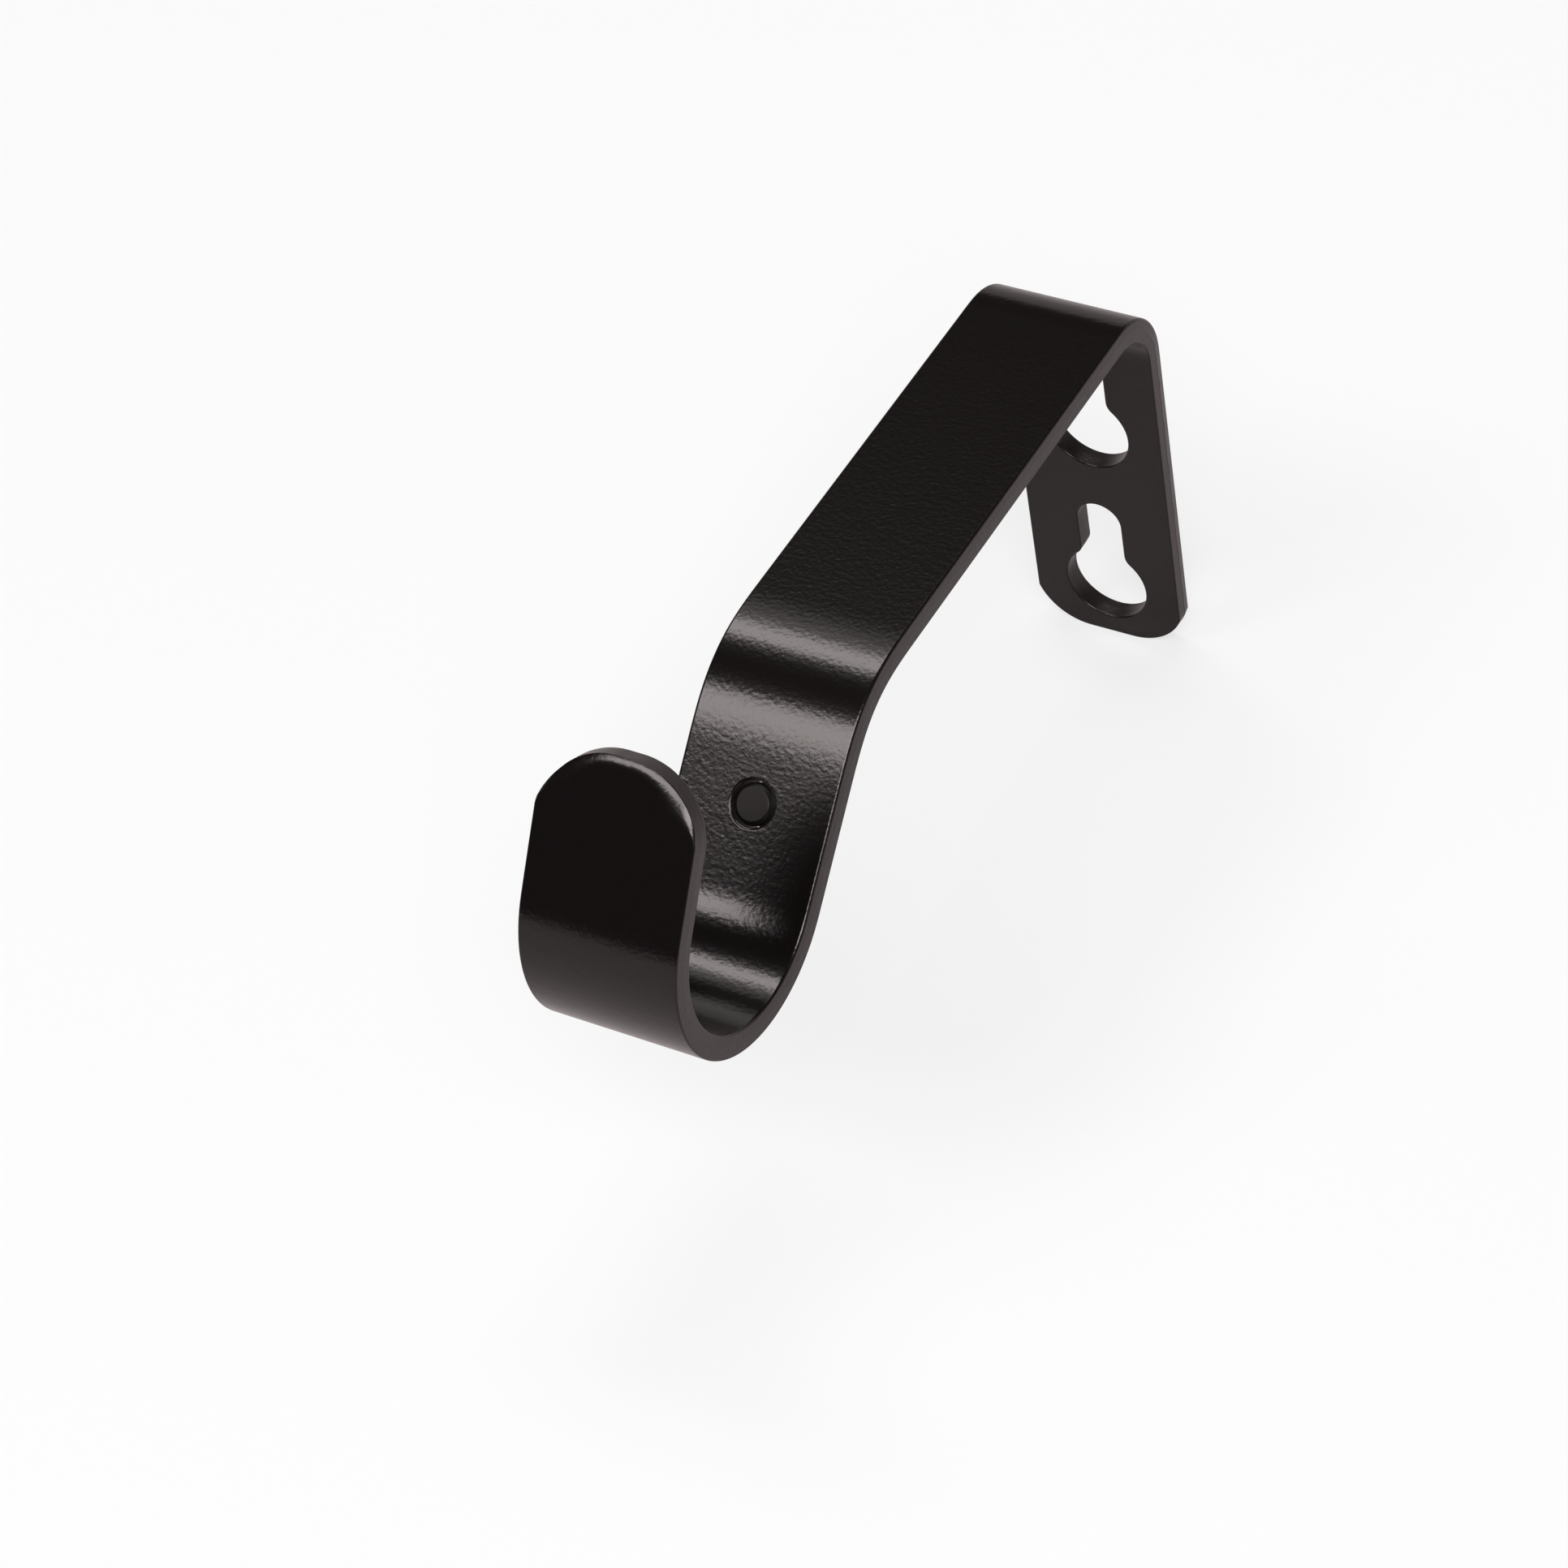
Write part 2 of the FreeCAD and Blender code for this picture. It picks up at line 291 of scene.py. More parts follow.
def ride_path(strip, along):
    """Place and heading on the path, out from the wall and up, at distances along it.

    The heading is upright at the foot, less each bend's turn times the share of the bend
    that is behind. The place is the running sum of short steps along the heading. The
    eased bends would leave the tip a little off the place that sharp ones give, which is
    the sum of their chords, so the difference is spread over the path past the plate.
    """
    lengths, turns, eases = bent_path(strip)
    ends = np.cumsum(lengths)
    starts = ends - lengths
    steps = np.linspace(0, ends[-1], PATH_STEPS)
    behind = (eased(steps[:, None] - starts, eases) - eased(steps[:, None] - ends, eases)) / lengths
    heading = math.pi / 2 - behind @ turns
    middles = math.pi / 2 - np.cumsum(turns) + turns / 2
    chords = lengths * np.sinc(turns / 2 / np.pi)
    past_plate = np.clip((steps - ends[PLATE]) / (ends[-1] - ends[PLATE]), 0, 1)
    placed = []
    for start, way, chord_way in ((0, np.cos(heading), np.cos(middles)),
                                  (strip.foot_z, np.sin(heading), np.sin(middles))):
        walked = np.concatenate([[0], np.cumsum(way[1:] + way[:-1])]) * (steps[1] / 2)
        drift = walked[-1] - (chords * chord_way).sum()
        placed.append(np.interp(along, steps, start + walked - drift * past_plate))
    return placed[0], placed[1], np.interp(along, steps, heading)


def bent(strip, blank):
    """Points given flat as across, along and depth, carried onto the bent strip.

    A point is the path's place at its distance along, plus its depth times the normal
    that points from the wall-side face to the far face.
    """
    out, up, heading = ride_path(strip, blank[..., 1])
    depth = blank[..., 2]
    return np.stack([
        blank[..., 0], -(out + depth * np.sin(heading)), up - depth * np.cos(heading)], -1)


def bent_normals(strip, blank, normals):
    """Directions given flat, turned with the path at their points."""
    heading = ride_path(strip, blank[..., 1])[2]
    out = normals[..., 1] * np.cos(heading) + normals[..., 2] * np.sin(heading)
    up = normals[..., 1] * np.sin(heading) - normals[..., 2] * np.cos(heading)
    return np.stack([normals[..., 0], -out, up], -1)


def stations(strip):
    """Distances along the strip at which its rows lie, between the corners of its ends.

    A bend gets so many rows for each degree that it turns, a straight stretch a row for
    each row run, and the plate two.
    """
    lengths, turns = bent_path(strip)[:2]
    ends = np.cumsum(lengths)
    starts = ends - lengths
    foot = strip.foot_corner * (1 - math.cos(strip.foot_turn))
    tip = strip.tip_corner * (1 - math.cos(strip.tip_turn))
    starts[PLATE] = foot
    ends[FRONT_LIMB] -= tip
    steps = np.where(
        turns != 0, np.degrees(np.abs(turns)) * ROWS_PER_DEGREE, (ends - starts) / ROW_RUN)
    steps[PLATE] *= 2
    rows = [np.linspace(a, b, int(math.ceil(n)) + 1)[1:] for a, b, n in zip(starts, ends, steps)]
    return np.concatenate([[foot]] + rows)


def outline_rows(strip):
    """Half widths and distances along of the strip's outline, from its foot to its tip.

    At an end's corner of radius r, after a turn t, the half width is the flat end's plus
    r sin(t), and the distance from the end is r (1 - cos(t)).
    """
    side = strip.width / 2
    total = bent_path(strip)[0].sum()
    foot_t = np.linspace(0, strip.foot_turn, FOOT_CORNER_ROWS, endpoint=False)
    tip_t = np.linspace(0, strip.tip_turn, TIP_CORNER_ROWS, endpoint=False)
    foot_flat = side - strip.foot_corner * math.sin(strip.foot_turn)
    tip_flat = side - strip.tip_corner * math.sin(strip.tip_turn)
    middle = stations(strip)
    half = np.concatenate([
        foot_flat + strip.foot_corner * np.sin(foot_t), np.full(len(middle), side),
        (tip_flat + strip.tip_corner * np.sin(tip_t))[::-1]])
    along = np.concatenate([
        strip.foot_corner * (1 - np.cos(foot_t)), middle,
        total - (strip.tip_corner * (1 - np.cos(tip_t)))[::-1]])
    return half, along


def outline_loop(strip):
    """The outline as one closed loop, and how many points one side of it has.

    It runs up the right side, across the tip, down the left side and across the foot.
    """
    half, along = outline_rows(strip)
    shares = np.linspace(-1, 1, COLUMNS + 1)[1:-1]
    right = np.stack([half, along], -1)
    left = np.stack([-half, along], -1)[::-1]
    tip = np.stack([-shares * half[-1], np.full(len(shares), along[-1])], -1)
    foot = np.stack([shares * half[0], np.full(len(shares), along[0])], -1)
    return np.concatenate([right, tip, left, foot]), len(half)


def outward(loop):
    """Mitred outward normals of a closed loop that runs with its inside on the left.

    Each is the sum of its two sides' normals over one plus their product, so that an
    offset along it keeps both sides at that distance.
    """
    ahead = np.roll(loop, -1, 0) - loop
    ahead /= np.linalg.norm(ahead, axis=1, keepdims=True)
    behind = np.roll(ahead, 1, 0)
    normal_ahead = np.stack([ahead[:, 1], -ahead[:, 0]], -1)
    normal_behind = np.stack([behind[:, 1], -behind[:, 0]], -1)
    product = (normal_ahead * normal_behind).sum(1, keepdims=True)
    return (normal_ahead + normal_behind) / (1 + product)


def cut_edge(strip, loop, into_metal, shape):
    """The wall of a cut along a loop: its points, its normals and its mark.

    Each point of the loop has a section, from the wall-side face to the far face, and a
    row of shape, which is lean, ridge, draft, roll and roll turn. The section is a chain of
    arcs and straights, given by the slope of its normal from across to the far face: a
    round from straight back to -lean, the straight torn part, the crest from -lean to
    ridge, the hollow from ridge to draft, the straight sheared part, a tight round up to
    roll turn short of straight on, and the roll, an arc as wide as roll, up to straight on.
    A round arc's inset is its centre's less its radius times the cosine of the slope, and
    its depth is its centre's plus its radius times the sine. In the hollow both signs turn.
    The torn part's depth wanders along the loop as a sum of two sines, which the edges of
    the two faces don't follow. The mark is a power of the cosine of the slope.
    """
    lean, ridge, draft, roll, roll_turn = (shape[:, [k]] for k in range(5))
    near_round, far_round = strip.near_edge, strip.crisp_edge
    ridge_round, hollow_round = strip.ridge_round, strip.hollow_round
    step = np.linalg.norm(loop - np.roll(loop, 1, 0), axis=1)
    lap = (np.cumsum(step) / step.sum() * 2 * math.pi)[:, None]
    waves = max(round(step.sum() / strip.wander_length), 2)
    wave = np.sin(waves * lap) + np.sin((2 * waves + 1) * lap)
    torn = strip.torn_depth + strip.wander * wave / 2

    def slopes(start, end, count):
        return start + (end - start) * np.linspace(0, 1, count)

    foremost = np.maximum(0, -strip.torn_depth * np.tan(lean))
    near = slopes(-math.pi / 2, -lean, NEAR_POINTS)
    near_centre = (foremost + (strip.torn_depth - near_round) * np.tan(lean)
                   + near_round / np.cos(lean))
    near_inset = near_centre - near_round * np.cos(near)
    near_depth = near_round * (1 + np.sin(near))
    crest = slopes(-lean, ridge, CREST_POINTS)
    crest_inset = foremost + ridge_round * (1 - np.cos(crest))
    crest_depth = torn + ridge_round * np.sin(crest)
    hollow = slopes(ridge, draft, HOLLOW_POINTS)[:, 1:]
    hollow_centre = foremost + ridge_round - (ridge_round + hollow_round) * np.cos(ridge)
    hollow_inset = hollow_centre + hollow_round * np.cos(hollow)
    hollow_depth = (torn + (ridge_round + hollow_round) * np.sin(ridge)
                    - hollow_round * np.sin(hollow))
    roll_round = roll / np.sin(roll_turn)
    far = slopes(draft, math.pi / 2 - roll_turn, FAR_POINTS)
    far_depth = (strip.thickness - roll_round * (1 - np.cos(roll_turn))
                 - far_round * np.cos(roll_turn) + far_round * np.sin(far))
    sheared = far_depth[:, :1] - hollow_depth[:, -1:] + torn - strip.torn_depth
    far_centre = hollow_inset[:, -1:] + sheared * np.tan(draft) + far_round * np.cos(draft)
    far_inset = far_centre - far_round * np.cos(far)
    rolled = slopes(math.pi / 2 - roll_turn, math.pi / 2, ROLL_POINTS)[:, 1:]
    rolled_centre = far_centre + (roll_round - far_round) * np.sin(roll_turn)
    rolled_inset = rolled_centre - roll_round * np.cos(rolled)
    rolled_depth = strip.thickness - roll_round * (1 - np.sin(rolled))

    def joined(near, crest, hollow, far, rolled):
        flats = [start[:, -1:] + (end[:, :1] - start[:, -1:]) * np.array([1, 2]) / 3
                 for start, end in ((near, crest), (hollow, far))]
        return np.concatenate([near, flats[0], crest, hollow, flats[1], far, rolled], 1)

    inset = joined(near_inset, crest_inset, hollow_inset, far_inset, rolled_inset)
    depth = joined(near_depth, crest_depth, hollow_depth, far_depth, rolled_depth)
    slope = joined(near, crest, hollow, far, rolled)
    unit = into_metal / np.linalg.norm(into_metal, axis=1, keepdims=True)
    place = loop[:, None] + inset[..., None] * into_metal[:, None]
    facing = -unit[:, None] * np.cos(slope)[..., None]
    points = np.concatenate([place, depth[..., None]], -1)
    normals = np.concatenate([facing, np.sin(slope)[..., None]], -1)
    return points, normals, np.cos(slope) ** MARK_FALL


def outline_edge(strip, loop):
    """The cut edge's shape at each point of the strip's outline, as rows for cut_edge.

    On the plate the torn part leans and ends in a clear ridge. Past the top bend both are
    faint, and round the tip the cut leans the other way and the roll is wide. The shape
    changes evenly from one of these places to the next.
    """
    lengths = bent_path(strip)[0]
    total = lengths.sum()
    side_roll = (strip.side_roll, strip.side_roll_turn)
    tip_cut = (strip.tip_lean, strip.tip_ridge, -strip.tip_lean)
    plate = (strip.plate_lean, strip.plate_ridge, 0, *side_roll)
    arm = (strip.arm_lean, strip.arm_ridge, 0, *side_roll)
    tip = (*tip_cut, strip.tip_roll, strip.tip_roll_turn)
    crown = (*tip_cut, strip.crown_roll, strip.tip_roll_turn)
    shapes = np.array([plate, arm, arm, tip, crown])
    places = [
        lengths[PLATE], lengths[:ARM].sum(), total - strip.tip_roll_starts,
        total - strip.tip_roll_whole, total]
    return np.stack([np.interp(loop[:, 1], places, values) for values in shapes.T], -1)


class Surface:
    """Grids of points with their normals and edge marks, gathered into one closed mesh."""

    def __init__(self):
        self.points, self.normals, self.marks, self.faces = [], [], [], []
        self.count = 0

    def add(self, points, normals, mark, closed=False, hole=None):
        """Adds a grid of quads, which face the way that its normals point.

        A closed grid joins its last row to its first, and hole, an array of cells, leaves
        out the cells that are true.
        """
        rows, columns = points.shape[:2]
        index = np.arange(rows * columns).reshape(rows, columns)
        if closed:
            index = np.concatenate([index, index[:1]])
        quads = np.stack([index[:-1, :-1], index[1:, :-1], index[1:, 1:], index[:-1, 1:]], -1)
        quads = quads[~hole] if hole is not None else quads.reshape(-1, 4)
        corners = points.reshape(-1, 3)[quads]
        facing = np.cross(corners[:, 2] - corners[:, 0], corners[:, 3] - corners[:, 1])
        if (facing * normals.reshape(-1, 3)[quads[:, 0]]).sum() < 0:
            quads = quads[:, ::-1]
        self.faces.append(quads + self.count)
        self.points.append(points.reshape(-1, 3))
        self.normals.append(normals.reshape(-1, 3))
        self.marks.append(np.broadcast_to(mark, points.shape[:2]).reshape(-1))
        self.count += rows * columns

    def mesh(self, name):
        """One welded mesh, in which cells that have shrunk to a line are left out."""
        faces = np.concatenate(self.faces)
        used, faces = np.unique(faces, return_inverse=True)
        faces = faces.reshape(-1, 4)
        points = np.concatenate(self.points)[used]
        normals = np.concatenate(self.normals)[used]
        marks = np.concatenate(self.marks)[used]
        keys = np.round(points / WELD).astype(np.int64)
        first, inverse = np.unique(keys, axis=0, return_index=True, return_inverse=True)[1:]
        faces = inverse.reshape(-1)[faces]
        faces = faces[(faces != np.roll(faces, -1, 1)).sum(1) >= 3]
        same = faces == np.roll(faces, -1, 1)
        kept = [face[~doubled].tolist() for face, doubled in zip(faces, same)]
        made = bpy.data.meshes.new(name)
        made.from_pydata(points[first].tolist(), [], kept)
        made.validate()
        made.shade_smooth()
        made.attributes.new("cut_edge", "FLOAT", "POINT").data.foreach_set(
            "value", marks[first].astype(np.float32))
        made.normals_split_custom_set_from_vertices(normals[first].tolist())
        return made


def keyhole_outline(keyhole):
    """The keyhole's outline as a dense loop about its entry's centre.

    From the foot of the round entry it runs up its right half, over the rounded shoulder,
    along the slot's side and round its end, then back down their mirror image.
    """
    shoulder_x = keyhole.slot + keyhole.shoulder
    shoulder_y = math.sqrt((keyhole.entry + keyhole.shoulder) ** 2 - shoulder_x ** 2)
    lean = math.atan2(shoulder_y, shoulder_x)
    entry = np.linspace(-math.pi / 2, lean, ENTRY_POINTS)
    shoulder = np.linspace(math.pi + lean, math.pi, SHOULDER_POINTS)
    side = np.linspace(shoulder_y, keyhole.rise, SIDE_POINTS)
    end = np.linspace(0, math.pi / 2, SLOT_END_POINTS)
    right = np.concatenate([
        np.stack([keyhole.entry * np.cos(entry), keyhole.entry * np.sin(entry)], -1),
        np.stack([
            shoulder_x + keyhole.shoulder * np.cos(shoulder),
            shoulder_y + keyhole.shoulder * np.sin(shoulder)], -1)[1:],
        np.stack([np.full(len(side), keyhole.slot), side], -1)[1:],
        np.stack([keyhole.slot * np.cos(end), keyhole.rise + keyhole.slot * np.sin(end)], -1)[1:]])
    left = (right * (-1, 1))[::-1]
    return np.concatenate([right, left[1:-1]])


def circle_outline(radius):
    turn = np.linspace(-math.pi / 2, 3 * math.pi / 2, CIRCLE_POINTS, endpoint=False)
    return np.stack([radius * np.cos(turn), radius * np.sin(turn)], -1)


def seen_from(outline, centre, turns):
    """Where a loop lies in given directions from a centre: its distance, read by angle."""
    offset = outline - centre
    angles = np.arctan2(offset[:, 1], offset[:, 0])
    order = np.argsort(angles)
    reach = np.interp(turns, angles[order], np.hypot(*offset[order].T), period=2 * math.pi)
    return centre + reach[:, None] * np.stack([np.cos(turns), np.sin(turns)], -1)


def punch(surface, strip, grids, rows, columns, outline, centre):
    """A hole through the strip, and the two faces between it and a window of the rows.

    The window's edge is read from each face's grid. The hole's points lie in the same
    directions from the centre, and straight lines join the two, with their points closer
    together near the hole. Its wall is a cut edge turned inward.
    """
    (top, bottom), (left, right) = rows, columns
    loops = []
    for grid in grids:
        window = grid[top:bottom + 1, left:right + 1]
        loops.append(np.concatenate([
            window[0, :-1], window[:-1, -1], window[-1, :0:-1], window[:0:-1, 0]]))
    turns = np.arctan2(loops[0][:, 1] - centre[1], loops[0][:, 0] - centre[0])
    hole = seen_from(outline, centre, turns)
    into_metal = outward(hole)
    into_metal /= np.linalg.norm(into_metal, axis=1, keepdims=True)
    shape = (strip.hole_lean, strip.arm_ridge, 0, strip.side_roll, strip.side_roll_turn)
    wall, normals, mark = cut_edge(strip, hole, into_metal, np.tile(shape, (len(hole), 1)))
    surface.add(bent(strip, wall), bent_normals(strip, wall, normals), mark, closed=True)
    blend = np.linspace(0, 1, HOLE_RINGS + 1)[:, None, None] ** RING_CROWDING
    for loop, ring, way in ((loops[0], wall[:, 0], -1.0), (loops[1], wall[:, -1], 1.0)):
        face = (ring * (1 - blend) + loop * blend).transpose(1, 0, 2)
        face_normals = np.broadcast_to(np.array([0, 0, way]), face.shape)
        surface.add(bent(strip, face), bent_normals(strip, face, face_normals), 0.0, closed=True)


def window_rows(along, low, high):
    """The rows just outside a stretch along the strip."""
    return int(np.searchsorted(along, low) - 1), int(np.searchsorted(along, high))


def screw_axis(strip, screw):
    """The distance along the strip at which the set screw goes through it."""
    return bent_path(strip)[0][:REAR_LIMB].sum() + screw.from_bend


def strip_surface(strip, keyhole, screw):
    """The bent strip: its two faces in rows and columns, its cut edge and its holes."""
    loop, rows = outline_loop(strip)
    normals = outward(loop)
    edge, edge_normals, mark = cut_edge(strip, loop, -normals, outline_edge(strip, loop))
    surface = Surface()
    surface.add(bent(strip, edge), bent_normals(strip, edge, edge_normals), mark, closed=True)

    shares = np.linspace(-1, 1, COLUMNS + 1)
    grids = []
    tip_row = np.arange(rows - 1, rows + COLUMNS)[::-1]
    foot_row = np.append(np.arange(2 * rows + COLUMNS - 2, len(loop)), 0)
    for ring in (edge[:, 0], edge[:, -1]):
        grid = np.repeat(ring[:rows, None], COLUMNS + 1, 1)
        grid[..., 0] *= shares
        grid[0], grid[-1] = ring[foot_row], ring[tip_row]
        grids.append(grid)
    along = grids[0][:, 0, 1]
    hole = np.zeros((rows - 1, COLUMNS), bool)
    outline = keyhole_outline(keyhole)
    for entry_z in (keyhole.lower_z, keyhole.upper_z):
        entry = entry_z - strip.foot_z
        low = entry - keyhole.entry - MARGIN_BELOW_ENTRY
        high = entry + keyhole.rise + keyhole.slot + MARGIN_ABOVE_SLOT
        window = window_rows(along, low, high)
        hole[window[0]:window[1]] = True
        punch(surface, strip, grids, window, (0, COLUMNS), outline + (0, entry),
              np.array([0, entry + keyhole.rise / 2]))
    axis = screw_axis(strip, screw)
    reach = screw.hole + SCREW_HOLE_MARGIN
    window = window_rows(along, axis - reach, axis + reach)
    columns = (COLUMNS // 2 - SCREW_HOLE_HALF_COLUMNS, COLUMNS // 2 + SCREW_HOLE_HALF_COLUMNS)
    hole[window[0]:window[1], columns[0]:columns[1]] = True
    outline = circle_outline(screw.hole) + (0, axis)
    punch(surface, strip, grids, window, columns, outline, np.array([0, axis]))
    for grid, way in zip(grids, (-1.0, 1.0)):
        face_normals = np.broadcast_to(np.array([0, 0, way]), grid.shape)
        surface.add(bent(strip, grid), bent_normals(strip, grid, face_normals), 0.0, hole=hole)
    return surface


def across_grid_normals(points):
    """Normals of a grid: the cross product of its slopes along columns and rows."""
    normals = np.cross(np.gradient(points, axis=1), np.gradient(points, axis=0))
    size = np.linalg.norm(normals, axis=-1, keepdims=True)
    return normals / np.where(size > 0, size, 1)


def screw_surface(strip, screw):
    """The set screw as rings from the tip's centre over the thread to the socket's floor.

    The thread's radius is the outer one less its depth times a triangle wave, cut flat at
    its crest and root, of the distance along over the pitch less the share of a turn. It
    is no more than the chamfer's cone. The socket's radius is its half width over the
    cosine of the angle from the middle of the nearest flat.
    """
    turn = np.linspace(0, 2 * math.pi, SCREW_TURN_POINTS)
    level = np.ones_like(turn)
    along = np.linspace(0, screw.length, SCREW_RINGS)[:, None]
    phase = np.abs((along / screw.pitch - turn / (2 * math.pi)) % 1 * 2 - 1)
    groove = np.clip(phase * THREAD_STEEPNESS - THREAD_CREST, 0, 1)
    cone = screw.radius - screw.chamfer + np.minimum(along, screw.length - along)
    threaded = np.minimum(screw.radius - screw.thread_depth * groove, cone)
    flat_turn = (turn + math.pi / 6) % (math.pi / 3) - math.pi / 6
    six_sided = (screw.socket / 2) / np.cos(flat_turn)
    rim = screw.radius - screw.chamfer
    tip = TIP_RINGS[:, None] * rim * level
    head = np.stack([
        HEAD_RING * rim * level, six_sided + SOCKET_CHAMFER, six_sided, six_sided,
        six_sided / 2, 0 * level])
    floor = screw.length - screw.socket_depth
    head_depth = np.array([
        screw.length, screw.length, screw.length - SOCKET_CHAMFER, floor,
        floor - SOCKET_CONE / 2, floor - SOCKET_CONE])[:, None] * level
    radius = np.concatenate([tip, threaded, head])
    depth = np.concatenate([0 * tip, along * level, head_depth])
    out, up, heading = ride_path(strip, np.array([screw_axis(strip, screw)]))
    across, run = radius * np.cos(turn), radius * np.sin(turn)
    points = np.stack([
        across,
        -(out + run * np.cos(heading) + depth * np.sin(heading)),
        up + run * np.sin(heading) - depth * np.cos(heading)], -1)
    surface = Surface()
    surface.add(points, across_grid_normals(points), 0.0)
    return surface


def node(tree, kind, **inputs):
    """A shader node with values set on its own sockets."""
    made = tree.nodes.new(kind)
    for name, value in inputs.items():
        made.inputs[name.replace("_", " ")].default_value = value
    return made


def noise(tree, place, size, detail):
    """Noise on object coordinates, with features of a size and so many finer layers."""
    made = node(tree, "ShaderNodeTexNoise", Scale=1 / size, Detail=detail)
    tree.links.new(place.outputs["Object"], made.inputs["Vector"])
    return made


def bump(tree, height, distance, under=None):
    """Bumps as high as distance, over those of another bump node if one is given."""
    made = node(tree, "ShaderNodeBump", Distance=distance, Strength=1.0)
    tree.links.new(height, made.inputs["Height"])
    if under is not None:
        tree.links.new(under.outputs["Normal"], made.inputs["Normal"])
    return made


def powder_coat(finish):
    """Dark powder coat: semi-gloss, with soft ripples and a fine grain.

    On cut edges it is thinner, so that it is duller and lets the tear's marks through.
    """
    material = bpy.data.materials.new("powder_coat")
    material.use_nodes = True
    tree = material.node_tree
    shader = tree.nodes["Principled BSDF"]
    shader.inputs["Specular Tint"].default_value = (*finish.coat_gloss_tint, 1)
    shader.inputs["Sheen Weight"].default_value = finish.coat_sheen
    shader.inputs["Sheen Roughness"].default_value = finish.sheen_roughness
    shader.inputs["Sheen Tint"].default_value = (*finish.sheen_tint, 1)
    cut = tree.nodes.new("ShaderNodeAttribute")
    cut.attribute_name = "cut_edge"
    colours = tree.nodes.new("ShaderNodeMix")
    colours.data_type = "RGBA"
    colours.inputs["A"].default_value = (*finish.coat, 1)
    colours.inputs["B"].default_value = (*finish.thin_coat, 1)
    tree.links.new(cut.outputs["Fac"], colours.inputs["Factor"])
    tree.links.new(colours.outputs["Result"], shader.inputs["Base Color"])
    roughness = tree.nodes.new("ShaderNodeMapRange")
    roughness.inputs["To Min"].default_value = finish.coat_roughness
    roughness.inputs["To Max"].default_value = finish.thin_coat_roughness
    tree.links.new(cut.outputs["Fac"], roughness.inputs["Value"])
    tree.links.new(roughness.outputs["Result"], shader.inputs["Roughness"])
    place = tree.nodes.new("ShaderNodeTexCoord")
    peel = noise(tree, place, finish.peel_size, detail=1.0)
    grain = noise(tree, place, finish.grain_size, detail=2.0)
    tear = noise(tree, place, finish.tear_size, detail=2.0)
    torn = tree.nodes.new("ShaderNodeMath")
    torn.operation = "MULTIPLY"
    tree.links.new(tear.outputs["Fac"], torn.inputs[0])
    tree.links.new(cut.outputs["Fac"], torn.inputs[1])
    ripples = bump(tree, peel.outputs["Fac"], finish.peel_depth)
    grains = bump(tree, grain.outputs["Fac"], finish.grain_depth, ripples)
    tears = bump(tree, torn.outputs[0], finish.tear_depth, grains)
    tree.links.new(tears.outputs["Normal"], shader.inputs["Normal"])
    return material


def blackened_steel(finish):
    """Blackened steel of a machined screw, with fine marks."""
    material = bpy.data.materials.new("blackened_steel")
    material.use_nodes = True
    tree = material.node_tree
    shader = tree.nodes["Principled BSDF"]
    shader.inputs["Base Color"].default_value = (*finish.steel, 1)
    shader.inputs["Metallic"].default_value = finish.steel_metallic
    shader.inputs["Roughness"].default_value = finish.steel_roughness
    place = tree.nodes.new("ShaderNodeTexCoord")
    grain = noise(tree, place, finish.mark_size, detail=3.0)
    marks = bump(tree, grain.outputs["Fac"], finish.mark_depth)
    tree.links.new(marks.outputs["Normal"], shader.inputs["Normal"])
    return material


def settled(mesh, name, material):
    """A piece that stands for the solid of the same name, with its finish."""
    piece = bpy.data.objects.new(name + "_piece", mesh)
    bpy.context.scene.collection.objects.link(piece)
    mesh.materials.append(material)
    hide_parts(name)
    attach(piece, "root")
    return piece


class BRACKET_OT_strip(bpy.types.Operator):
    """Make the bent, punched and coated strip"""
    bl_idname = "bracket.strip"
    bl_label = "Bent strip"

    def execute(self, context):
        scene = context.scene
        surface = strip_surface(
            scene.bracket_strip_settings, scene.bracket_keyhole_settings,
            scene.bracket_screw_settings)
        settled(surface.mesh("bracket_strip_surface"), "bracket_strip",
                powder_coat(scene.bracket_finish_settings))
        return {"FINISHED"}


class BRACKET_OT_set_screw(bpy.types.Operator):
    """Make the threaded set screw"""
    bl_idname = "bracket.set_screw"
    bl_label = "Set screw"

    def execute(self, context):
        scene = context.scene
        surface = screw_surface(scene.bracket_strip_settings, scene.bracket_screw_settings)
        mesh = surface.mesh("set_screw_surface")
        mesh.set_sharp_from_angle(angle=SHARP_ANGLE)
        settled(mesh, "set_screw",
                blackened_steel(scene.bracket_finish_settings))
        return {"FINISHED"}


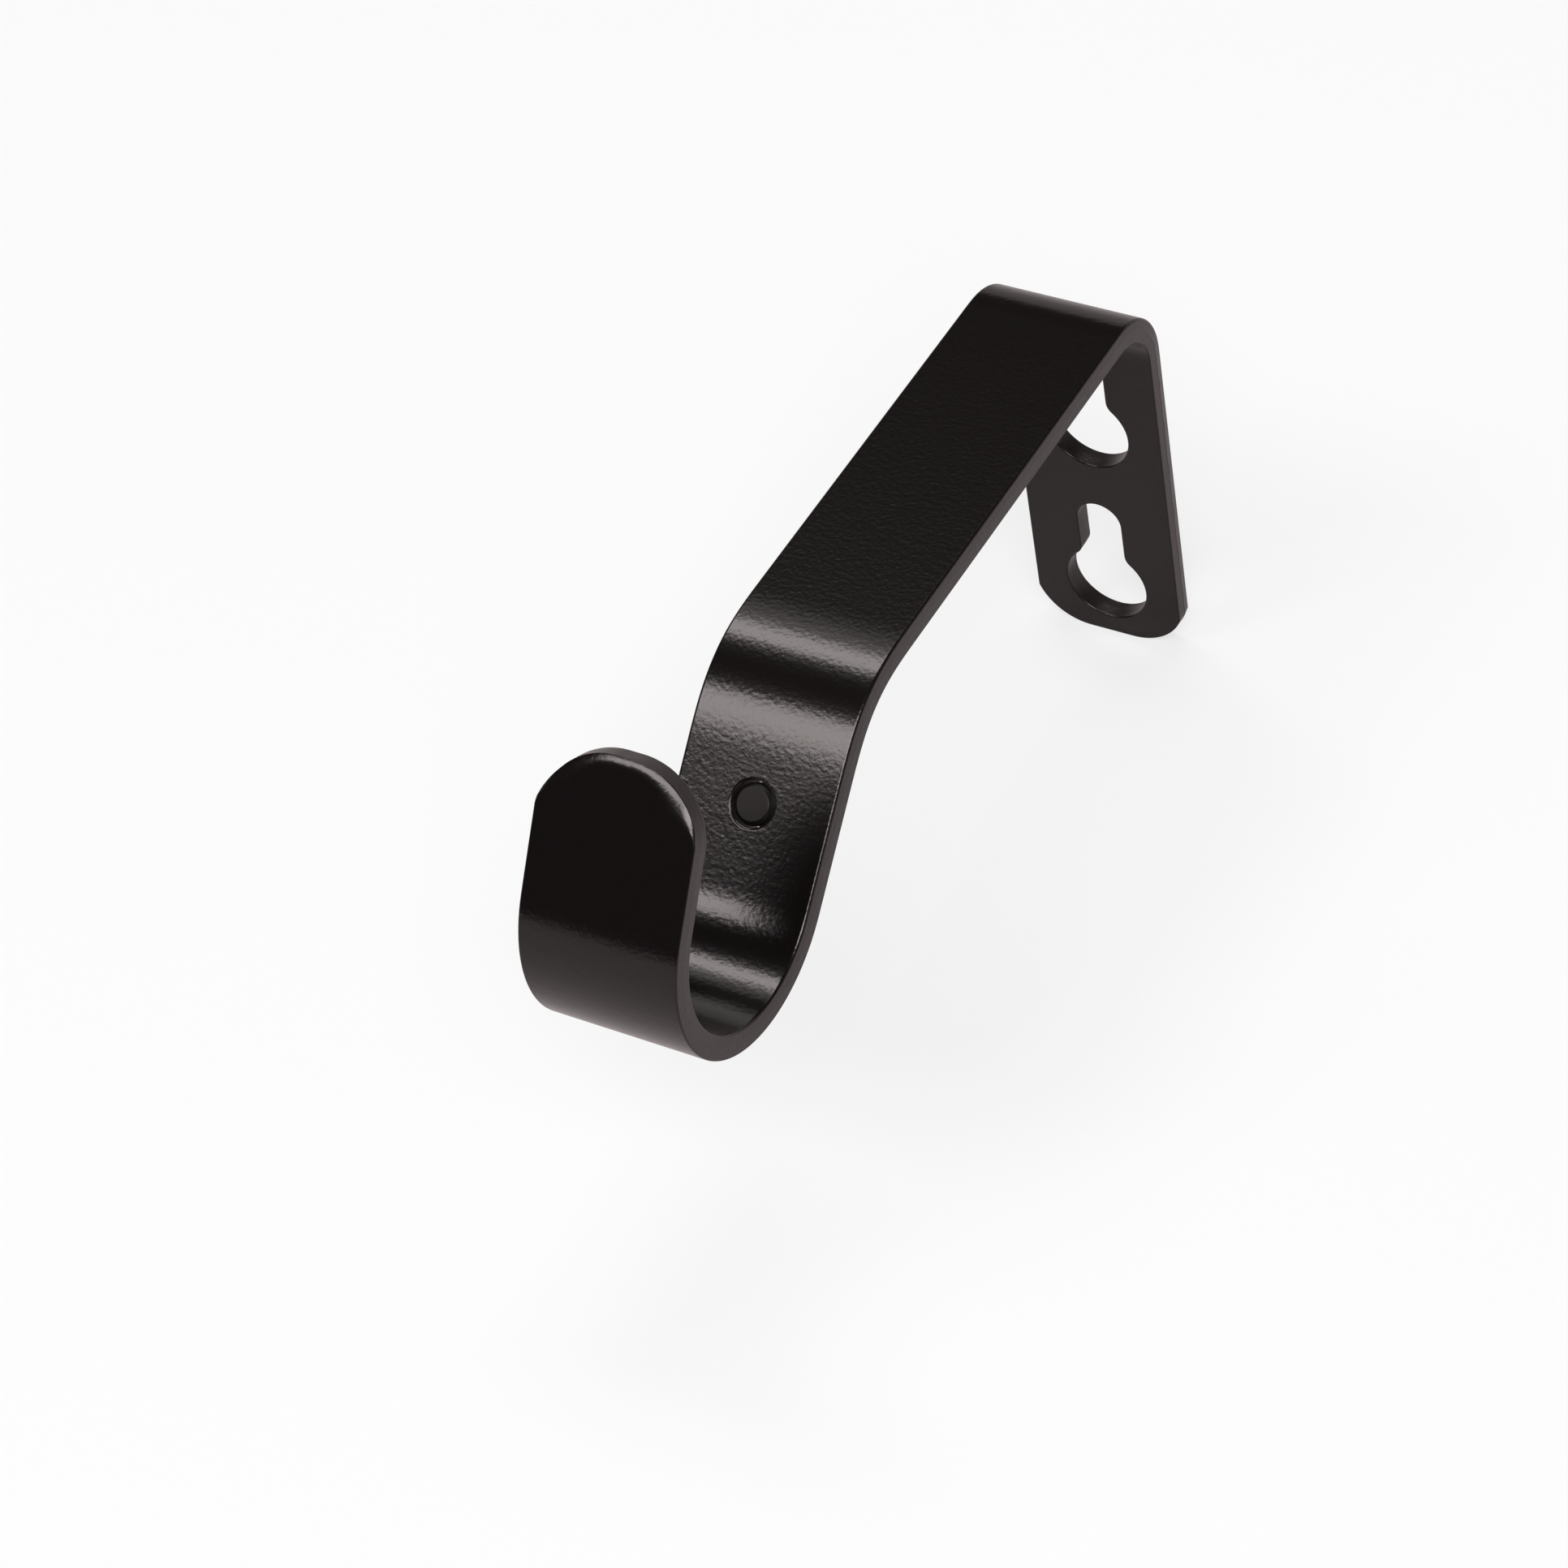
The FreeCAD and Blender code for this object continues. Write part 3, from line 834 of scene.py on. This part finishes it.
def floor_material(stage):
    """A pale floor that looks white to the eye, and keeps shadows.

    The camera sees a lit share of white plus a glow, and so, with other values, do gloss
    and glass. All other light, such as the soft light on the bracket, sees the plain floor.
    """
    material = bpy.data.materials.new("floor")
    material.use_nodes = True
    tree = material.node_tree
    tree.nodes.clear()
    output = tree.nodes.new("ShaderNodeOutputMaterial")
    path = tree.nodes.new("ShaderNodeLightPath")

    def lit_and_glowing(lit, glow):
        both = tree.nodes.new("ShaderNodeAddShader")
        parts = (("ShaderNodeBsdfDiffuse", lit), ("ShaderNodeEmission", glow))
        for k, (kind, strength) in enumerate(parts):
            part = node(tree, kind, Color=(*strength, 1))
            tree.links.new(part.outputs[0], both.inputs[k])
        return both

    shown = node(tree, "ShaderNodeBsdfDiffuse", Color=(*stage.floor, 1))
    glossy = lit_and_glowing(stage.gloss_lit, stage.gloss_glow)
    for ray, seen in (("Is Glossy Ray", glossy), ("Is Transmission Ray", glossy),
                      ("Is Camera Ray", lit_and_glowing(stage.eye_lit, stage.eye_glow))):
        mix = tree.nodes.new("ShaderNodeMixShader")
        tree.links.new(path.outputs[ray], mix.inputs[0])
        tree.links.new(shown.outputs[0], mix.inputs[1])
        tree.links.new(seen.outputs[0], mix.inputs[2])
        shown = mix
    tree.links.new(shown.outputs[0], output.inputs["Surface"])
    return material


def floor_mesh(stage, height):
    """The floor with its far side swept up: along y a flat, a quarter circle and an upright."""
    half, bend = stage.floor_size / 2, stage.sweep_radius
    turn = np.linspace(0, math.pi / 2, SWEEP_POINTS)
    y = np.concatenate([
        [-half], stage.sweep_starts + bend * np.sin(turn), [stage.sweep_starts + bend]])
    z = np.concatenate([[0], bend * (1 - np.cos(turn)), [bend + stage.sweep_rise]]) + height
    points = np.stack([np.stack([np.full(len(y), side), y, z], -1) for side in (-half, half)], 1)
    k = np.arange(len(y) - 1) * 2
    faces = np.stack([k, k + 1, k + 3, k + 2], -1)
    mesh = bpy.data.meshes.new("floor")
    mesh.from_pydata(points.reshape(-1, 3).tolist(), [], faces.tolist())
    mesh.materials.append(floor_material(stage))
    mesh.shade_smooth()
    return mesh


def softbox(name, direction, size, brightness):
    """A rectangular lamp in a direction from the bracket, facing it.

    Its first side is as near level, along x, as facing allows. Its power is its brightness
    times its area times pi.
    """
    towards = np.array(direction) / np.linalg.norm(direction)
    lamp = bpy.data.lights.new(name, "AREA")
    lamp.shape = "RECTANGLE"
    lamp.size, lamp.size_y = size
    lamp.energy = brightness * size[0] * size[1] * math.pi
    place = bpy.data.objects.new(name, lamp)
    bpy.context.scene.collection.objects.link(place)
    stand = np.array(LAMP_AIM) + towards * LAMP_DISTANCE
    side = np.array((1, 0, 0)) - towards * towards[0]
    side /= np.linalg.norm(side)
    up = np.cross(towards, side)
    turned = np.eye(4)
    turned[:3, 0], turned[:3, 1], turned[:3, 2], turned[:3, 3] = side, up, towards, stand
    place.matrix_world = Matrix(turned.tolist())
    return place


class BRACKET_OT_stage(bpy.types.Operator):
    """Make the floor, the lamps and the camera"""
    bl_idname = "bracket.stage"
    bl_label = "Stage"

    def execute(self, context):
        scene = context.scene
        stage = scene.bracket_stage_settings
        floor = bpy.data.objects.new("floor", floor_mesh(stage, STRIP_LOW.z))
        scene.collection.objects.link(floor)

        for name, (direction, size) in LAMPS.items():
            softbox(name, direction, size, getattr(stage, name))
        world = bpy.data.worlds.new("studio")
        world.use_nodes = True
        background = world.node_tree.nodes["Background"]
        background.inputs["Color"].default_value = (*stage.studio, 1)
        scene.world = world

        camera = bpy.data.cameras.new("camera")
        camera.lens = stage.focal_length
        camera.sensor_width = SENSOR_MM
        camera.clip_start = CLIP_START
        place = bpy.data.objects.new("camera", camera)
        scene.collection.objects.link(place)
        sin, cos = math.sin, math.cos
        back = np.array([
            sin(stage.azimuth) * cos(stage.elevation), -cos(stage.azimuth) * cos(stage.elevation),
            sin(stage.elevation)])
        right = np.array([cos(stage.azimuth), sin(stage.azimuth), 0])
        up = np.cross(back, right)
        rolled_right = cos(stage.roll) * right - sin(stage.roll) * up
        rolled_up = sin(stage.roll) * right + cos(stage.roll) * up
        turned = np.eye(4)
        turned[:3, 0], turned[:3, 1], turned[:3, 2] = rolled_right, rolled_up, back
        turned[:3, 3] = stage.camera_place
        place.matrix_world = Matrix(turned.tolist())
        scene.camera = place
        scene.view_settings.view_transform = "Standard"
        return {"FINISHED"}


class BRACKET_PT_panel(bpy.types.Panel):
    """The bracket's settings and the buttons that make it"""
    bl_label = "Curtain pole bracket"
    bl_idname = "BRACKET_PT_panel"
    bl_space_type = "VIEW_3D"
    bl_region_type = "UI"
    bl_category = "Bracket"

    def draw(self, context):
        for name, group in GROUPS.items():
            box = self.layout.box()
            box.label(text=group.__name__.replace("Settings", ""))
            for setting in group.__annotations__:
                box.prop(getattr(context.scene, name), setting)
        for operator in OPERATORS:
            self.layout.operator(operator.bl_idname)


OPERATORS = (BRACKET_OT_strip, BRACKET_OT_set_screw, BRACKET_OT_stage)


def register():
    for group in GROUPS.values():
        bpy.utils.register_class(group)
    for name, group in GROUPS.items():
        setattr(bpy.types.Scene, name, bpy.props.PointerProperty(type=group))
    for operator in OPERATORS:
        bpy.utils.register_class(operator)
    bpy.utils.register_class(BRACKET_PT_panel)


def unregister():
    bpy.utils.unregister_class(BRACKET_PT_panel)
    for operator in OPERATORS:
        bpy.utils.unregister_class(operator)
    for name, group in GROUPS.items():
        delattr(bpy.types.Scene, name)
        bpy.utils.unregister_class(group)


def main():
    register()
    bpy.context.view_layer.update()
    bpy.ops.bracket.strip()
    bpy.ops.bracket.set_screw()
    bpy.ops.bracket.stage()


if __name__ == "__main__":
    main()
